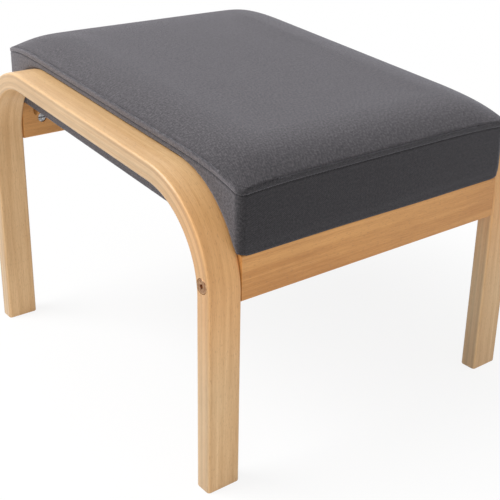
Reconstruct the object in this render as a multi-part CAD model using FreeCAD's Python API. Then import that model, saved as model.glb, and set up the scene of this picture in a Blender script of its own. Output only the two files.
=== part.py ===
import FreeCAD, Part
import math
import os

# A fixed footstool: two bent side frames, two rails between them and an upholstered seat.
# Sizes are in millimetres. The floor is at height zero, the front faces -Y, the left side faces -X,
# and the origin is on the floor under the middle of the whole footstool.

# Whole footstool
overall_width = 507.0
frame_depth = 546.0
seat_slope_degrees = 5.4

# Bent side frames, each a laminated strip with its wide face along the curve
strip_width = 45.0
strip_thickness = 23.5
front_leg_straight_height = 245.0
front_bend_radius = 128.0
back_bend_radius = 104.0
frame_edge_radius = 4.0
foot_chamfer = 1.5

# Rails
rail_thickness = 24.0
rail_height = 54.0
rail_setback = 1.0
rail_edge_radius = 2.0
front_rail_bottom_height = 235.0

# Frame bolts with a wide flat head, and the barrel nuts that they screw into
bolt_diameter = 8.0
bolt_head_diameter = 17.5
bolt_head_thickness = 3.0
bolt_head_edge_radius = 1.0
bolt_socket_across_flats = 5.0
bolt_socket_depth = 2.2
bolt_hole_clearance = 0.25
bolt_recess_clearance = 0.4
bolt_bore_run_out = 3.0
nut_diameter = 14.0
nut_length = 20.0
nut_distance_from_rail_end = 31.0
nut_hole_clearance = 0.1
nut_slot_width = 2.0
nut_slot_depth = 1.6
thread_clearance = 0.05

# Wooden dowels, one above and one below each bolt
dowel_diameter = 8.0
dowel_depth_in_leg = 14.0
dowel_depth_in_rail = 14.0
dowel_spacing = 30.0
dowel_clearance = 0.1
dowel_hole_run_out = 1.0
dowel_chamfer = 1.0

# Seat screws, driven up through slanted pockets in the rails
screw_diameter = 4.0
screw_length = 20.0
screw_head_diameter = 7.5
screw_head_thickness = 2.4
screw_tip_length = 3.0
screw_slot_width = 1.0
screw_slot_depth = 1.0
screw_slant_degrees = 35.0
screw_distance_from_rail_end = 21.0
screw_head_depth_in_rail = 4.5
screw_head_drop = 8.0
screw_hole_clearance = 0.1
pocket_clearance = 0.4
pocket_length = 16.0

# Upholstered seat, measured from the slanted plane through the top of both rails
seat_front_overhang = 0.5
seat_back_overhang = 6.0
seat_side_gap = 0.6
seat_corner_radius = 8.0
seat_draw_in = 0.8
seam_height = 80.0
crown_edge_width = 9.0
crown_edge_rise = 13.0
crown_centre_rise = 6.0
crown_centre_width = 120.0
crown_corner_growth = 0.3
cover_thickness = 1.2
wadding_thickness = 4.0
hem_past_staples = 6.0
dust_cover_thickness = 0.6
dust_cover_inset = 8.0
base_thickness = 12.0

# Staples through the dust cover and the hem
staple_crown = 10.0
staple_wire_width = 1.2
staple_wire_thickness = 0.5
staple_leg_length = 8.0
staple_gap_to_rail = 3.0
staple_pitch = 45.0

# Places that follow from the sizes above
slope = math.radians(seat_slope_degrees)
rail_length = overall_width - 2 * strip_width
rail_end_x = rail_length / 2
front_y = (seat_front_overhang - seat_back_overhang - frame_depth) / 2
back_y = front_y + frame_depth
seat_front_y = front_y - seat_front_overhang
seat_back_y = back_y + seat_back_overhang
seat_half_width = rail_end_x - seat_side_gap
seat_length = (seat_back_y - seat_front_y) / math.cos(slope)
widest_overhang = max(seat_front_overhang, seat_back_overhang)
staple_inset = widest_overhang + rail_setback + rail_thickness + staple_gap_to_rail
hem_width = staple_inset + hem_past_staples
hem_bottom = dust_cover_thickness
base_bottom = hem_bottom + cover_thickness
foam_bottom = base_bottom + base_thickness
bolt_length = strip_width - bolt_head_thickness + nut_distance_from_rail_end + nut_diameter / 2

X_AXIS = FreeCAD.Vector(1, 0, 0)
Y_AXIS = FreeCAD.Vector(0, 1, 0)
Z_AXIS = FreeCAD.Vector(0, 0, 1)


class Rail:
    """Where a rail's faces, bottom and bolts lie, and which way along Y points out of the stool."""

    def __init__(self, name, outer_y, outward):
        self.name = name
        self.outward = outward
        self.outer_y = outer_y
        self.inner_y = outer_y - outward * rail_thickness
        self.middle_y = outer_y - outward * rail_thickness / 2
        self.bottom = min(seat_plane(self.outer_y), seat_plane(self.inner_y)) - rail_height
        self.bolt_height = self.bottom + rail_height / 2


def seat_plane(y):
    """Height of the seat's underside, a plane that rises from the front rail to the back rail."""
    front_rail_y = front_y + rail_setback
    return front_rail_bottom_height + rail_height + (y - front_rail_y) * math.tan(slope)


def cylinder(radius, length, start, direction):
    return Part.makeCylinder(radius, length, start, direction)


def box(size, centre):
    corner = centre - size * 0.5
    return Part.makeBox(size.x, size.y, size.z, corner)


def on_circle(centre_y, centre_z, radius, degrees):
    """A point in the YZ plane, counted from the back (0) over the top (90) to the front (180)."""
    turn = math.radians(degrees)
    return FreeCAD.Vector(0, centre_y + radius * math.cos(turn), centre_z + radius * math.sin(turn))


def strip_path(depth):
    """Edges of the side frame's curve, front foot to back foot, this deep inside its outer face."""
    front_centre_y = front_y + front_bend_radius
    front_centre_z = front_leg_straight_height
    back_centre_y = back_y - back_bend_radius
    run = back_centre_y - front_centre_y
    fall = front_bend_radius - back_bend_radius
    back_centre_z = front_centre_z + (fall + run * math.sin(slope)) / math.cos(slope)
    front_radius = front_bend_radius - depth
    back_radius = back_bend_radius - depth
    crest = 90 + seat_slope_degrees
    front_arc = [on_circle(front_centre_y, front_centre_z, front_radius, turn)
                 for turn in (180, (180 + crest) / 2, crest)]
    back_arc = [on_circle(back_centre_y, back_centre_z, back_radius, turn)
                for turn in (crest, crest / 2, 0)]
    front_foot = FreeCAD.Vector(0, front_arc[0].y, 0)
    back_foot = FreeCAD.Vector(0, back_arc[2].y, 0)
    return [
        Part.makeLine(front_foot, front_arc[0]),
        Part.Arc(*front_arc).toShape(),
        Part.makeLine(front_arc[2], back_arc[0]),
        Part.Arc(*back_arc).toShape(),
        Part.makeLine(back_arc[2], back_foot),
    ]


def strip_blank():
    """The bent strip between x = 0 and its width, with rounded long edges and eased feet."""
    outer = strip_path(0.0)
    inner = strip_path(strip_thickness)
    front_foot = Part.makeLine(inner[0].Vertexes[0].Point, outer[0].Vertexes[0].Point)
    back_foot = Part.makeLine(outer[-1].Vertexes[-1].Point, inner[-1].Vertexes[-1].Point)
    outline = Part.Wire(Part.__sortEdges__(outer + inner + [front_foot, back_foot]))
    blank = Part.Face(outline).extrude(X_AXIS * strip_width)
    long_edges = [edge for edge in blank.Edges
                  if edge.BoundBox.XLength < 0.001 and edge.BoundBox.ZMax > foot_chamfer]
    blank = blank.makeFillet(frame_edge_radius, long_edges)
    foot_edges = [edge for edge in blank.Edges if edge.BoundBox.ZMax < 0.001]
    return blank.makeChamfer(foot_chamfer, foot_edges)


def side_frame(side, rails):
    """One side frame, side being -1 for the left and 1 for the right, drilled for both rails."""
    frame = strip_blank()
    outer_x = side * overall_width / 2
    inner_x = side * rail_end_x
    frame.translate(X_AXIS * min(outer_x, inner_x))
    inward = X_AXIS * -side
    for rail in rails:
        bolt_start = FreeCAD.Vector(outer_x, rail.middle_y, rail.bolt_height)
        recess_radius = bolt_head_diameter / 2 + bolt_recess_clearance
        frame = frame.cut(cylinder(recess_radius, bolt_head_thickness, bolt_start, inward))
        frame = frame.cut(cylinder(bolt_diameter / 2 + bolt_hole_clearance, strip_width, bolt_start, inward))
        for height in dowel_heights(rail):
            start = FreeCAD.Vector(inner_x, rail.middle_y, height)
            depth = dowel_depth_in_leg + dowel_hole_run_out
            frame = frame.cut(cylinder(dowel_diameter / 2 + dowel_clearance, depth, start, inward * -1))
    return frame


def dowel_heights(rail):
    return [rail.bolt_height - dowel_spacing / 2, rail.bolt_height + dowel_spacing / 2]


def rail_bar(rail):
    """One rail, bevelled on top to the seat's slope, with its bores, nut holes and screw pockets."""
    corners = [
        FreeCAD.Vector(-rail_end_x, rail.outer_y, rail.bottom),
        FreeCAD.Vector(-rail_end_x, rail.inner_y, rail.bottom),
        FreeCAD.Vector(-rail_end_x, rail.inner_y, seat_plane(rail.inner_y)),
        FreeCAD.Vector(-rail_end_x, rail.outer_y, seat_plane(rail.outer_y)),
    ]
    bar = Part.Face(Part.makePolygon(corners + corners[:1])).extrude(X_AXIS * rail_length)
    long_edges = [edge for edge in bar.Edges if edge.BoundBox.XLength > rail_length / 2]
    bar = bar.makeFillet(rail_edge_radius, long_edges)
    for side in (-1, 1):
        bar = bar.cut(rail_end_holes(rail, side))
        bar = bar.cut(screw_hole(rail, side))
    return bar


def rail_end_holes(rail, side):
    """Bolt bore, dowel holes and nut hole at one end of a rail, as one cutter."""
    inward = X_AXIS * -side
    end = FreeCAD.Vector(side * rail_end_x, rail.middle_y, rail.bolt_height)
    bore_length = nut_distance_from_rail_end + nut_diameter / 2 + bolt_bore_run_out
    cutter = cylinder(bolt_diameter / 2 + bolt_hole_clearance, bore_length, end, inward)
    for height in dowel_heights(rail):
        start = FreeCAD.Vector(end.x, end.y, height)
        depth = dowel_depth_in_rail + dowel_hole_run_out
        cutter = cutter.fuse(cylinder(dowel_diameter / 2 + dowel_clearance, depth, start, inward))
    nut_hole_depth = rail_thickness / 2 + nut_length / 2
    mouth = nut_centre(rail, side) - Y_AXIS * rail.outward * rail_thickness / 2
    nut_hole = cylinder(nut_diameter / 2 + nut_hole_clearance, nut_hole_depth, mouth, Y_AXIS * rail.outward)
    return cutter.fuse(nut_hole)


def nut_centre(rail, side):
    x = side * (rail_end_x - nut_distance_from_rail_end)
    return FreeCAD.Vector(x, rail.middle_y, rail.bolt_height)


def hexagon_socket(start, direction):
    """A hexagon prism across the given flats, for cutting the bolt's socket along X."""
    radius = bolt_socket_across_flats / math.sqrt(3)
    points = [on_circle(start.y, start.z, radius, turn) + X_AXIS * start.x for turn in range(0, 360, 60)]
    return Part.Face(Part.makePolygon(points + points[:1])).extrude(direction * bolt_socket_depth)


def frame_bolt(rail, side):
    """A bolt with a wide flat head, sunk flush in the leg and reaching through the barrel nut."""
    inward = X_AXIS * -side
    head_start = FreeCAD.Vector(side * overall_width / 2, rail.middle_y, rail.bolt_height)
    head = cylinder(bolt_head_diameter / 2, bolt_head_thickness, head_start, inward)
    rim = [edge for edge in head.Edges
           if edge.BoundBox.XLength < 0.001 and abs(edge.BoundBox.XMax - head_start.x) < 0.001]
    head = head.makeFillet(bolt_head_edge_radius, rim)
    shank_start = head_start + inward * bolt_head_thickness
    shank = cylinder(bolt_diameter / 2 - thread_clearance, bolt_length, shank_start, inward)
    return head.fuse(shank).cut(hexagon_socket(head_start, inward))


def barrel_nut(rail, side):
    """A barrel nut across the rail, with a cross hole for the bolt and a slot in the end that shows."""
    centre = nut_centre(rail, side)
    outward = Y_AXIS * rail.outward
    shown_end = centre - outward * nut_length / 2
    nut = cylinder(nut_diameter / 2, nut_length, shown_end, outward)
    bolt_hole_start = centre - X_AXIS * nut_diameter
    nut = nut.cut(cylinder(bolt_diameter / 2, 2 * nut_diameter, bolt_hole_start, X_AXIS))
    slot_size = FreeCAD.Vector(2 * nut_diameter, 2 * nut_slot_depth, nut_slot_width)
    return nut.cut(box(slot_size, shown_end))


def dowel_pair(rail, side):
    """Two fluted-size dowels with chamfered ends, half in the leg and half in the rail."""
    length = dowel_depth_in_leg + dowel_depth_in_rail
    dowels = []
    for height in dowel_heights(rail):
        middle = side * (rail_end_x + (dowel_depth_in_leg - dowel_depth_in_rail) / 2)
        start = FreeCAD.Vector(middle - length / 2, rail.middle_y, height)
        dowel = cylinder(dowel_diameter / 2, length, start, X_AXIS)
        ends = [edge for edge in dowel.Edges if edge.BoundBox.XLength < 0.001]
        dowels.append(dowel.makeChamfer(dowel_chamfer, ends))
    return Part.makeCompound(dowels)


def screw_seat(rail, side):
    """Where a seat screw's head bears in its pocket."""
    x = side * (rail_end_x - screw_distance_from_rail_end)
    y = rail.inner_y + rail.outward * screw_head_depth_in_rail
    return FreeCAD.Vector(x, y, seat_plane(rail.inner_y) - screw_head_drop)


def screw_direction(rail):
    """A seat screw climbs towards the rail's outer face."""
    slant = math.radians(screw_slant_degrees)
    return FreeCAD.Vector(0, rail.outward * math.sin(slant), math.cos(slant))


def screw_hole(rail, side):
    """Pocket and pilot hole of one seat screw, as one cutter for the rail and the seat."""
    seat = screw_seat(rail, side)
    direction = screw_direction(rail)
    pocket_radius = screw_head_diameter / 2 + pocket_clearance
    pocket = cylinder(pocket_radius, pocket_length, seat, direction * -1)
    pilot = cylinder(screw_diameter / 2 + screw_hole_clearance, screw_length + 1, seat, direction)
    return pocket.fuse(pilot)


def seat_screw(rail, side):
    """A wood screw with a flat-bottomed head, a cross slot and a pointed tip."""
    seat = screw_seat(rail, side)
    direction = screw_direction(rail)
    shank_length = screw_length - screw_tip_length
    shank = cylinder(screw_diameter / 2, shank_length, seat, direction)
    tip_start = seat + direction * shank_length
    tip = Part.makeCone(screw_diameter / 2, 0, screw_tip_length, tip_start, direction)
    head = cylinder(screw_head_diameter / 2, screw_head_thickness, seat, direction * -1)
    head_top = seat - direction * screw_head_thickness
    slot = Part.makeBox(screw_slot_width, screw_head_diameter * 2, screw_slot_depth * 2)
    slot.translate(FreeCAD.Vector(-screw_slot_width / 2, -screw_head_diameter, -screw_slot_depth))
    cross = slot.fuse(slot.rotated(FreeCAD.Vector(0, 0, 0), Z_AXIS, 90))
    cross.Placement = FreeCAD.Placement(head_top, FreeCAD.Rotation(Z_AXIS, direction))
    return head.fuse(shank).fuse(tip).cut(cross)


def seat_placement():
    """Carries the seat's own frame, x across, y up the slope and z out of it, to the stool."""
    corner = FreeCAD.Vector(0, seat_front_y, seat_plane(seat_front_y))
    return FreeCAD.Placement(corner, FreeCAD.Rotation(X_AXIS, seat_slope_degrees))


def on_stool(shape):
    placed = shape.copy()
    placed.Placement = seat_placement().multiply(placed.Placement)
    return placed


def in_seat_frame(shape):
    moved = shape.copy()
    moved.Placement = seat_placement().inverse().multiply(moved.Placement)
    return moved


def ring(height, inset, corner_radius):
    """A rounded rectangle across the seat. Its front and back stay plumb below one another."""
    lean = height * math.tan(slope)
    half_width = seat_half_width - inset
    low = inset + lean
    high = seat_length - inset + lean
    reach = corner_radius * (1 - math.sqrt(0.5))
    corners = [
        (half_width, low, -1, 1),
        (half_width, high, -1, -1),
        (-half_width, high, 1, -1),
        (-half_width, low, 1, 1),
    ]
    stops = []
    for index, (x, y, to_x, to_y) in enumerate(corners):
        on_side = FreeCAD.Vector(x, y + to_y * corner_radius, height)
        on_end = FreeCAD.Vector(x + to_x * corner_radius, y, height)
        middle = FreeCAD.Vector(x + to_x * reach, y + to_y * reach, height)
        first, last = (on_end, on_side) if index % 2 == 0 else (on_side, on_end)
        stops.append((first, middle, last))
    edges = []
    for index, (first, middle, last) in enumerate(stops):
        edges.append(Part.Arc(first, middle, last).toShape())
        edges.append(Part.makeLine(last, stops[(index + 1) % 4][0]))
    return Part.Wire(edges)


def seat_side(depth, bottom):
    """The seat's block from a height up to the seam, this deep inside the cover, drawn in at both ends."""
    rings = []
    for height, draw_in in ((0, seat_draw_in), (seam_height / 2, 0), (seam_height, seat_draw_in)):
        rings.append(ring(height, draw_in + depth, seat_corner_radius))
    block = Part.makeLoft(rings, True, False)
    below = box(FreeCAD.Vector(2 * overall_width, 4 * seat_length, 2 * bottom), FreeCAD.Vector(0, 0, 0))
    return block.cut(below)


def seat_crown(depth):
    """The seat above the seam: a rounded edge that runs into a low dome with a flat middle."""
    rings = []
    for turn in (0, 30, 60, 90):
        across = crown_edge_width * (1 - math.cos(math.radians(turn)))
        rings.append(crown_ring(depth, across, math.sin(math.radians(turn))))
    for share in (1 / 3, 2 / 3, 1):
        across = crown_edge_width + (crown_centre_width - crown_edge_width) * share
        rings.append(crown_ring(depth, across, 1))
    return Part.makeLoft(rings, True, False)


def crown_ring(depth, across, edge_share):
    dome = 1 - (1 - across / crown_centre_width) ** 2
    height = seam_height + (crown_edge_rise - depth) * edge_share + crown_centre_rise * dome
    inset = seat_draw_in + depth + across
    return ring(height, inset, seat_corner_radius + crown_corner_growth * across)


def slab(bottom, top, inset):
    """A flat layer of the seat with plumb front and back."""
    rings = [ring(height, inset, seat_corner_radius) for height in (bottom, top)]
    return Part.makeLoft(rings, True, True)


def stuffing(depth):
    """Everything above the seat base that lies this deep inside the cover."""
    return seat_side(depth, foam_bottom).fuse(seat_crown(depth)).removeSplitter()


def staple_places():
    """Centre, direction along the edge, for each staple of the hem."""
    places = []
    long_count = int((seat_length - 2 * staple_inset) // staple_pitch)
    cross_count = int(2 * (seat_half_width - staple_inset) // staple_pitch)
    for side in (-1, 1):
        for index in range(long_count):
            y = seat_length / 2 + (index - (long_count - 1) / 2) * staple_pitch
            places.append((side * (seat_half_width - staple_inset), y, False))
    for end_y in (staple_inset, seat_length - staple_inset):
        for index in range(cross_count):
            x = (index - (cross_count - 1) / 2) * staple_pitch
            places.append((x, end_y, True))
    return places


def staple(x, y, along_x):
    """A wire staple under the dust cover, its crown on the cloth and its legs up in the seat base."""
    crown = box(FreeCAD.Vector(staple_wire_width, staple_crown, staple_wire_thickness),
                FreeCAD.Vector(0, 0, -staple_wire_thickness / 2))
    piece = crown
    for end in (-1, 1):
        leg_y = end * (staple_crown - staple_wire_thickness) / 2
        leg = box(FreeCAD.Vector(staple_wire_width, staple_wire_thickness, staple_leg_length),
                  FreeCAD.Vector(0, leg_y, staple_leg_length / 2))
        piece = piece.fuse(leg)
    if along_x:
        piece.rotate(FreeCAD.Vector(0, 0, 0), Z_AXIS, 90)
    piece.translate(FreeCAD.Vector(x, y, 0))
    return piece.removeSplitter()


def seat_pieces(rails):
    """The seat's layers from the dust cover to the top panel, by node name."""
    staples = Part.makeCompound([staple(*place) for place in staple_places()])
    screw_holes = [in_seat_frame(screw_hole(rail, side)) for rail in rails for side in (-1, 1)]
    wood_and_cloth_cuts = screw_holes + [staples]
    dust_cover = slab(0, dust_cover_thickness, dust_cover_inset)
    hem_opening = slab(hem_bottom, base_bottom, hem_width)
    band = seat_side(0, hem_bottom).cut(seat_side(cover_thickness, base_bottom)).cut(hem_opening)
    base = slab(base_bottom, foam_bottom, cover_thickness + seat_draw_in)
    for cutter in wood_and_cloth_cuts:
        dust_cover = dust_cover.cut(cutter)
        band = band.cut(cutter)
        base = base.cut(cutter)
    foam_depth = cover_thickness + wadding_thickness
    return {
        "seat_dust_cover": dust_cover,
        "seat_cover_side_band": band,
        "seat_base_board": base,
        "seat_foam": stuffing(foam_depth),
        "seat_wadding": stuffing(cover_thickness).cut(stuffing(foam_depth)),
        "seat_cover_top_panel": seat_crown(0).cut(seat_crown(cover_thickness)),
        "seat_staples": staples,
    }


def all_pieces():
    """Every piece of the footstool by node name."""
    front = Rail("front", front_y + rail_setback, -1)
    back = Rail("back", back_y - rail_setback, 1)
    rails = [front, back]
    pieces = {
        "left_side_frame": side_frame(-1, rails),
        "right_side_frame": side_frame(1, rails),
    }
    for rail in rails:
        pieces[rail.name + "_rail"] = rail_bar(rail)
        for side, side_name in ((-1, "left"), (1, "right")):
            place = rail.name + "_" + side_name + "_"
            pieces[place + "frame_bolt"] = frame_bolt(rail, side)
            pieces[place + "barrel_nut"] = barrel_nut(rail, side)
            pieces[place + "dowels"] = dowel_pair(rail, side)
            pieces[place + "seat_screw"] = seat_screw(rail, side)
    for name, shape in seat_pieces(rails).items():
        pieces[name] = on_stool(shape)
    return pieces


def main():
    os.makedirs("parts", exist_ok=True)
    for name, shape in all_pieces().items():
        shape.exportStep(os.path.join("parts", name + ".step"))
        print(name, "solids", len(shape.Solids), "valid", shape.isValid(), "volume", round(shape.Volume, 1))


main()
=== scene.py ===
import math

import bpy
import numpy as np
from bpy.props import FloatProperty, FloatVectorProperty, PointerProperty
from mathutils import Euler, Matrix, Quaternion, Vector


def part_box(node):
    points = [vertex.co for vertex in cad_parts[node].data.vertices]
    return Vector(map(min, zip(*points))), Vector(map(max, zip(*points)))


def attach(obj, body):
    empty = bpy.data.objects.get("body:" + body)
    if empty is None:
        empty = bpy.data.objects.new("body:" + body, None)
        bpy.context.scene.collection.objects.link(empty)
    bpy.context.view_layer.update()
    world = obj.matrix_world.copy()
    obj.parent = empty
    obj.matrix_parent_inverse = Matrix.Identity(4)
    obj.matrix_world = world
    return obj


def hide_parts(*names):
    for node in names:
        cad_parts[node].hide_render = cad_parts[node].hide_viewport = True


# Dresses a fixed bentwood footstool: two bent side frames, two rails and an upholstered seat.
# Everything is in metres. The front faces -Y, the left side faces -X, and the floor is at height zero.

bl_info = {
    "name": "Bentwood footstool",
    "version": (1, 0, 0),
    "blender": (4, 5, 0),
    "location": "View3D > Sidebar > Footstool",
    "description": "Builds the frames, seat cover, stitching and finishes of a bentwood footstool",
    "category": "Object",
}

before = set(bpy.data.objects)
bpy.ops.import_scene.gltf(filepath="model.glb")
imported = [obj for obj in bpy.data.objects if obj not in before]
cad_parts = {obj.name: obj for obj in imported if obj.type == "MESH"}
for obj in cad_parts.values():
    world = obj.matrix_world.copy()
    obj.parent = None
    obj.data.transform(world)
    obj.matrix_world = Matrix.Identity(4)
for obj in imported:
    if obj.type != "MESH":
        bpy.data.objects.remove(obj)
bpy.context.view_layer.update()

BODY = "root"
SIDES = {"left": -1, "right": 1}
RAILS = ("front", "back")

# Outward offset of the cover near its seam, by height above the seam, both in metres
SEAM_PROFILE = (
    (-0.0125, 0.0),
    (-0.0100, 0.0001),
    (-0.0083, 0.0001),
    (-0.0075, -0.0011),
    (-0.0067, 0.0003),
    (-0.0050, 0.0006),
    (-0.0025, 0.0007),
    (-0.0008, 0.0006),
    (0.0, -0.0014),
)

# Painted light and shade on the cover near its seam, by height above it: painted shade in the seam and
# the second row, and a painted highlight on the ridge between them
PAINTED_SEAM_LIGHT = (
    (-0.0083, 1.0),
    (-0.0075, 0.45),
    (-0.0067, 1.15),
    (-0.0026, 1.3),
    (-0.0008, 1.4),
    (0.0, 0.45),
)
# Share by which painted shade darkens the front and back sides of the cover
PAINTED_END_SHADE = 0.52

# Points this near the outline belong to the seat's sides, and points this near in height to the seam
WALL_DEPTH = 0.006
SEAM_SLACK = 0.00002
# Height of the unswollen block above the seam, how far inside the seam its next row of points lies,
# and the least height of the top above the seam
TOP_ROOM = 0.005
TOP_GAP = 0.0008
TOP_LIFT = 0.0002
# Voxels below the seam, with a half one so that a row of points lies at the seam, and the rows' gap
SEAM_VOXELS = 15.5
ROW_GAP = 0.005
# Rows of points are added this far below the seam and beside the second row, and at these depths
BESIDE_SEAM = 0.0008
LOWER_ROWS = (0.0112, 0.0137)

# The cloth settings that stand in for the stuffing, and the number of frames that it swells for
STUFFING = {
    "quality": 5,
    "tension_stiffness": 18,
    "compression_stiffness": 18,
    "bending_stiffness": 2.0,
    "use_pressure": True,
    "uniform_pressure_force": 4,
}
SWELL_FRAMES = 20

# The cover lies snug against the seat board up to a height and lets go over a distance above it, and
# the part that hangs beside the rails fades out upwards and inwards in the same way
SNUG_TOP, SNUG_FADE = 0.014, 0.010
LIP_TOP, LIP_FADE = 0.005, 0.004
LIP_REACH, LIP_REACH_FADE = 0.0035, 0.0025

# Edge that the staples hold flat, the distance over which the cloth inside it goes slack, across and
# along the seat, and the height of its small folds
DUST_EDGE = 0.028
DUST_SLACK_ACROSS, DUST_SLACK_ALONG = 0.12, 0.14
DUST_FOLD = 0.00035

# Room round a bolt's head, its recess's depth, its bore's radius, and how far out the drill starts
HEAD_ROOM = 0.0004
HEAD_DEPTH = 0.003
BOLT_BORE_RADIUS = 0.00425
DRILL_START = 0.002
# The dowel holes: room round the dowel and past its end, and depth
DOWEL_ROOM = 0.0001
DOWEL_END_ROOM = 0.001
DOWEL_HOLE_DEPTH = 0.020

# Where the front leg's wood turns ruddy and pale again, by distance along the strip from the foot,
# the tints of the pale and the ruddy wood, and the thickness of one layer of the seat board. The two
# tints are painted light, standing in for the upper front leg being lit differently from the rest.
RUDDY_FROM = (0.10, 0.27)
RUDDY_TO = (0.42, 0.31)
PAINTED_PALE_TINT = (0.96, 1.06, 1.18, 1.0)
PAINTED_RUDDY_TINT = (1.0, 0.93, 0.82, 1.0)
BOARD_PLY = 0.0017

# The stage: each lamp's place, width and power, the sky's light, the floor and the camera, whose
# angles are in degrees
LAMPS = {
    "key": ((-2.0, 1.0, 2.6), 2.2, 94),
    "fill": ((-1.6, -1.9, 1.4), 2.0, 10),
}
LAMP_TARGET = Vector((0, 0, 0.25))
SKY_STRENGTH = 0.55
FLOOR_RADIUS = 14
CAMERA_PLACE = (-0.7909, -1.0167, 0.7268)
CAMERA_LENS = 70.2
CAMERA_SHIFT = (0.06, -0.08)
CAMERA_DOWN, CAMERA_TURN, CAMERA_ROLL = 22.16, -36.67, 0.33


def display_colour(red, green, blue):
    """A linear colour from the 0 to 255 values that a screen shows."""
    linear = []
    for level in (red / 255, green / 255, blue / 255):
        linear.append(level / 12.92 if level <= 0.04045 else ((level + 0.055) / 1.055) ** 2.4)
    return (*linear, 1.0)


def length(label, about, default):
    return FloatProperty(
        name=label, description=about, default=default, min=0.0, subtype="DISTANCE", unit="LENGTH")


def colour(label, about, red, green, blue):
    return FloatVectorProperty(
        name=label, description=about, default=display_colour(red, green, blue),
        min=0.0, max=1.0, size=4, subtype="COLOR")


def box_side(node, axis, high):
    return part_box(node)[1 if high else 0][axis]


class FootstoolSizes(bpy.types.PropertyGroup):
    """The sizes of the bent strips, the seat and its stitching."""

    frame_front: FloatProperty(
        name="Frame front", description="Where the frames' front faces lie along Y",
        default=box_side("left_side_frame", 1, False), subtype="DISTANCE", unit="LENGTH")
    frame_back: FloatProperty(
        name="Frame back", description="Where the frames' back faces lie along Y",
        default=box_side("left_side_frame", 1, True), subtype="DISTANCE", unit="LENGTH")
    slope: FloatProperty(
        name="Seat slope", description="How steeply the seat rises from front to back",
        default=math.radians(5.4), subtype="ANGLE", unit="ROTATION")
    strip_width: length("Strip width", "Width of the bent strip, across the stool", 0.045)
    strip_thickness: length("Strip thickness", "Thickness of the bent strip", 0.0235)
    front_leg_height: length("Straight front leg", "Height at which the front bend starts", 0.245)
    front_radius: length("Front bend", "Outside radius of the front bend", 0.128)
    back_radius: length("Back bend", "Outside radius of the back bend", 0.104)
    edge_radius: length("Strip edge radius", "Rounding of the strip's long edges", 0.004)
    foot_chamfer: length("Foot chamfer", "Easing of the edges under the feet", 0.0015)
    ply_thickness: length("Ply thickness", "Thickness of one layer of the bent strip", 0.0029)
    seat_base_height: length("Seat base height", "Height of the seat's underside at its front", 0.289)
    seat_base_place: length("Seat base offset", "How far that lies behind the frames' front", 0.001)
    seat_corner: length("Seat corner radius", "Radius of the seat's upright corners", 0.0065)
    seam_height: length("Seam height", "Height of the seam above the seat's underside", 0.080)
    second_row: length("Second row", "Distance from the seam to the second row below it", 0.0075)
    edge_rise: length("Edge rise", "Height of the top's soft edge above the seam", 0.012)
    edge_width: length("Edge width", "How far the soft edge reaches in over the top", 0.062)
    over_frames: length("Over the frames", "How far the sides fill out over the frames", 0.007)
    frame_clearance: length("Frame clearance", "Distance from the frames at the full swell", 0.0035)
    crown_width: length("Crown width", "Distance from the edge over which the seat rises", 0.12)
    bow_width: length("Bow width", "Distance from a corner over which the seam bows up", 0.12)
    side_bow: length("Side bow", "How far the middle of the side seams bows up", 0.0085)
    front_corner_dip: length("Front corner dip", "Dip of the seam at the front corners", 0.004)
    back_corner_dip: length("Back corner dip", "Dip of the seam at the back corners", 0.0088)
    back_dip: length("Back dip", "How far the middle of the back seam dips", 0.0120)
    crown_rise: length("Crown rise", "How far the stuffing lifts the middle of the seat", 0.004)
    side_rise: length("Side swell", "How far the stuffing pushes the sides out", 0.0016)
    seam_sink: length("Seam sink", "Room below the cover for the seam to sink into", 0.0017)
    cover_thickness: length("Cover thickness", "Thickness of the seat cloth", 0.0012)
    wadding_thickness: length("Wadding thickness", "Thickness of the wadding over the foam", 0.004)
    hem_width: length("Hem width", "How far the cover turns in under the seat", 0.040)
    board_inset: length("Board inset", "How far the cover draws in round the board", 0.0008)
    board_fold: length("Board fold", "Radius of the cloth's fold under the board", 0.0025)
    rail_lip: length("Rail lip", "How far the cover hangs down beside the rails", 0.0022)
    board_bottom: length("Board bottom", "Height of the board above the seat's underside", 0.0018)
    foam_bottom: length("Foam bottom", "Height of the foam above the seat's underside", 0.0138)
    dust_thickness: length("Dust cover thickness", "Thickness of the cloth under the seat", 0.0006)
    dust_sag: length("Dust cover sag", "How far the dust cover hangs down in its middle", 0.0025)
    stitch_length: length("Stitch length", "Length of one stitch of the second row", 0.0034)
    stitch_gap: length("Stitch gap", "Gap between two stitches", 0.0012)
    thread_width: length("Thread width", "Width of the sewing thread", 0.0007)
    yarn_pitch: length("Yarn pitch", "Distance between two yarns of the seat cloth", 0.0011)


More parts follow.
